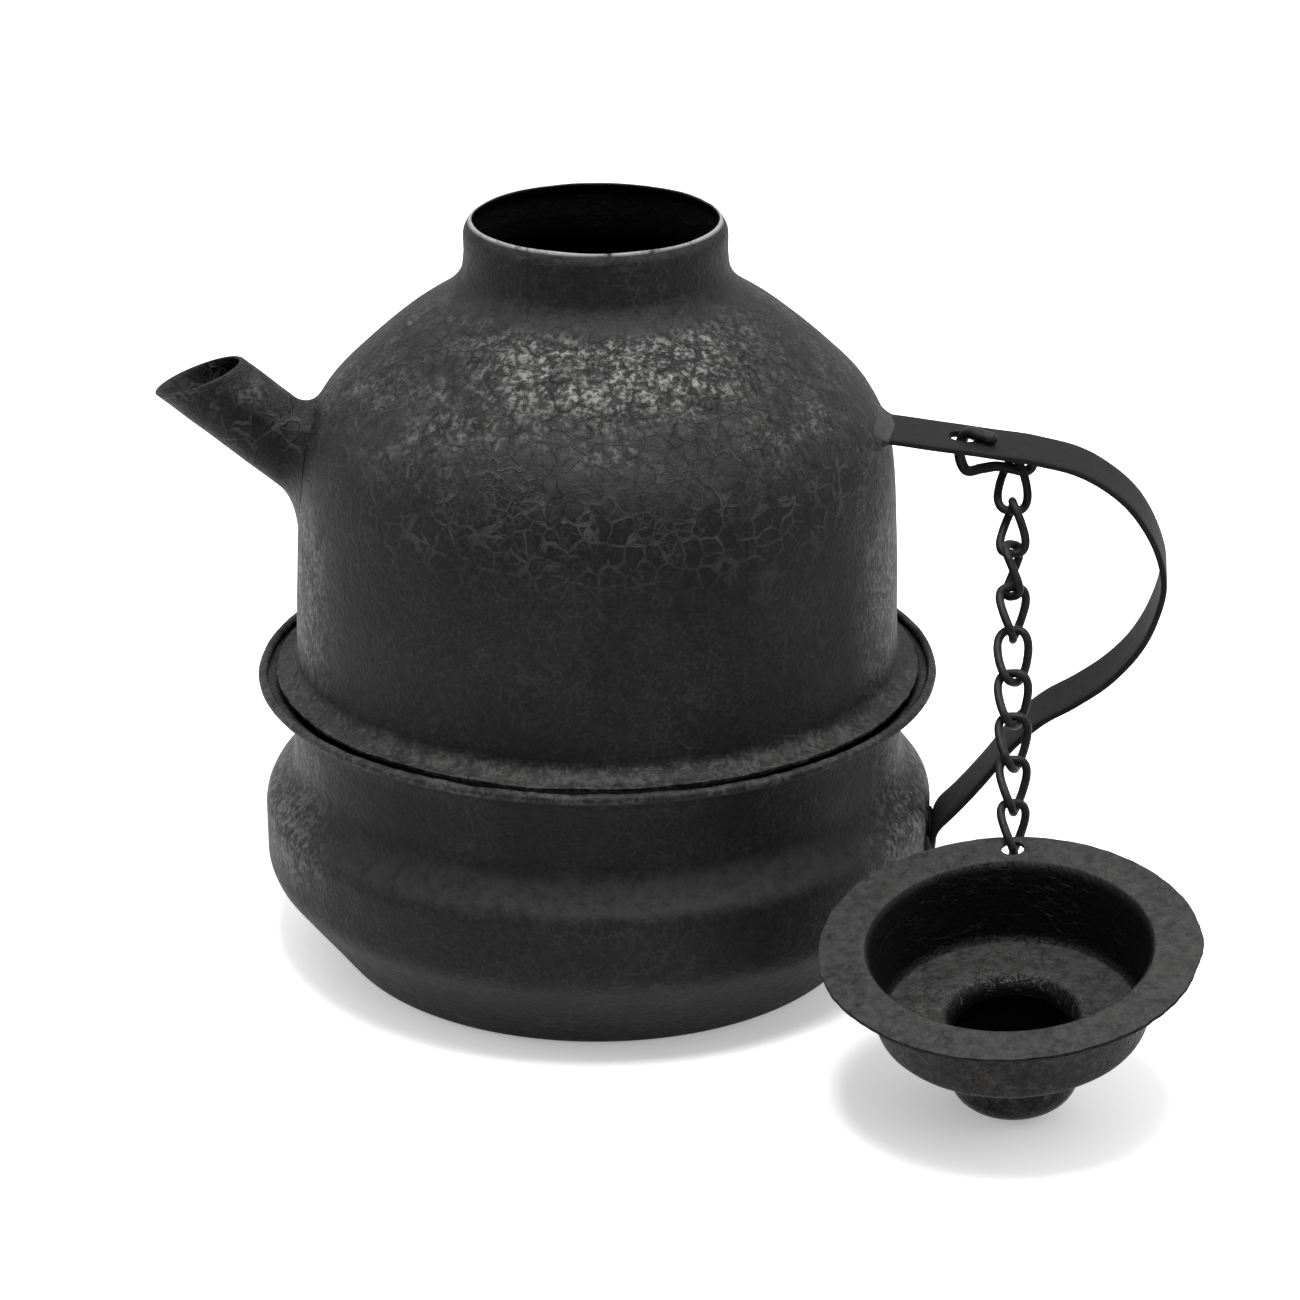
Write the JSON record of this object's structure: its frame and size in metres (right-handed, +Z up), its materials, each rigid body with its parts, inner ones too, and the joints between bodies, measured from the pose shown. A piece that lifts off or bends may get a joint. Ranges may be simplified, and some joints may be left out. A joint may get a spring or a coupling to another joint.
{
  "type": "sheet metal pouring kettle",
  "caption": "Black painted sheet-steel oil kettle with a rolled seam, an angled spout, a strap handle and a brimmed cap hanging upside down on a twisted-link chain.",
  "frame": {"origin": "centre of the kettle's flat base, on the surface that it stands on", "axes": "+Z up along the kettle's axis; the spout points to -X and the handle to +X; the cap stands on the -Y side of the handle"},
  "size_m": [0.2494, 0.2281, 0.1902],
  "materials": {
    "kettle_paint": "satin black paint, finely crackled and rubbed at the edges",
    "strap_black": "smooth satin black",
    "weld_black": "painted weld, slightly lumpy",
    "chain_black": "blackened steel wire",
    "cap_paint": "satin black-brown paint, crackled, with bare rusty edges"
  },
  "bodies": {
    "root": {"base_bowl": "kettle_paint", "dome_shell": "kettle_paint", "spout_tube": "kettle_paint", "spout_braze": "kettle_paint", "handle_strap": "strap_black", "handle_top_braze": "weld_black", "handle_foot_braze": "weld_black"},
    "hook": {"chain_hook": "chain_black"},
    "link_1": {"chain_link_1": "chain_black"},
    "link_2": {"chain_link_2": "chain_black"},
    "link_3": {"chain_link_3": "chain_black"},
    "link_4": {"chain_link_4": "chain_black"},
    "link_5": {"chain_link_5": "chain_black"},
    "link_6": {"chain_link_6": "chain_black"},
    "link_7": {"chain_link_7": "chain_black"},
    "link_8": {"chain_link_8": "chain_black"},
    "link_9": {"chain_link_9": "chain_black"},
    "cap": {"cap_shell": "cap_paint", "cap_knob": "cap_paint", "cap_knob_braze": "cap_paint"}
  },
  "joints": [
    {"name": "hook_swivel", "type": "hinge", "parent": "root", "child": "hook", "pos_m": [0.08931, -0.00939, 0.13705], "axis": [-0.1129, 0.0119, -0.9935], "range_deg": [-28, 10]},
    {"name": "link_1_swing", "type": "hinge", "parent": "hook", "child": "link_1", "pos_m": [0.10163, -0.01068, 0.12919], "axis": [-0.9881, 0.1038, 0.1135], "range_deg": [-6, 50]},
    {"name": "link_2_swing", "type": "hinge", "parent": "link_1", "child": "link_2", "pos_m": [0.10155, -0.01471, 0.12212], "axis": [-0.1392, -0.8599, 0.4911], "range_deg": [-6, 54]},
    {"name": "link_3_swing", "type": "hinge", "parent": "link_2", "child": "link_3", "pos_m": [0.10143, -0.02102, 0.11104], "axis": [0.951, -0.273, 0.1451], "range_deg": [-60, 16]},
    {"name": "link_4_swing", "type": "hinge", "parent": "link_3", "child": "link_4", "pos_m": [0.10135, -0.02513, 0.10381], "axis": [0.9945, 0.0862, -0.0599], "range_deg": [-60, 6]},
    {"name": "link_5_swing", "type": "hinge", "parent": "link_4", "child": "link_5", "pos_m": [0.10123, -0.03144, 0.09273], "axis": [-0.0697, -0.8666, 0.4942], "range_deg": [-12, 60]},
    {"name": "link_6_swing", "type": "hinge", "parent": "link_5", "child": "link_6", "pos_m": [0.10115, -0.03556, 0.08551], "axis": [-0.9563, 0.2585, -0.1368], "range_deg": [-24, 24]},
    {"name": "link_7_swing", "type": "hinge", "parent": "link_6", "child": "link_7", "pos_m": [0.10103, -0.04187, 0.07442], "axis": [-0.454, -0.7722, 0.4446], "range_deg": [-14, 20]},
    {"name": "link_8_swing", "type": "hinge", "parent": "link_7", "child": "link_8", "pos_m": [0.10096, -0.04598, 0.0672], "axis": [-0.9993, -0.0257, 0.0254], "range_deg": [-18, 18]},
    {"name": "link_9_swing", "type": "hinge", "parent": "link_8", "child": "link_9", "pos_m": [0.10084, -0.05229, 0.05611], "axis": [0.1392, 0.8599, -0.4911], "range_deg": [-18, 18]},
    {"name": "cap_swing", "type": "hinge", "parent": "link_9", "child": "cap", "pos_m": [0.10076, -0.05606, 0.0495], "axis": [-0.9922, 0.1084, -0.0617], "range_deg": [-60, 50]}
  ]
}
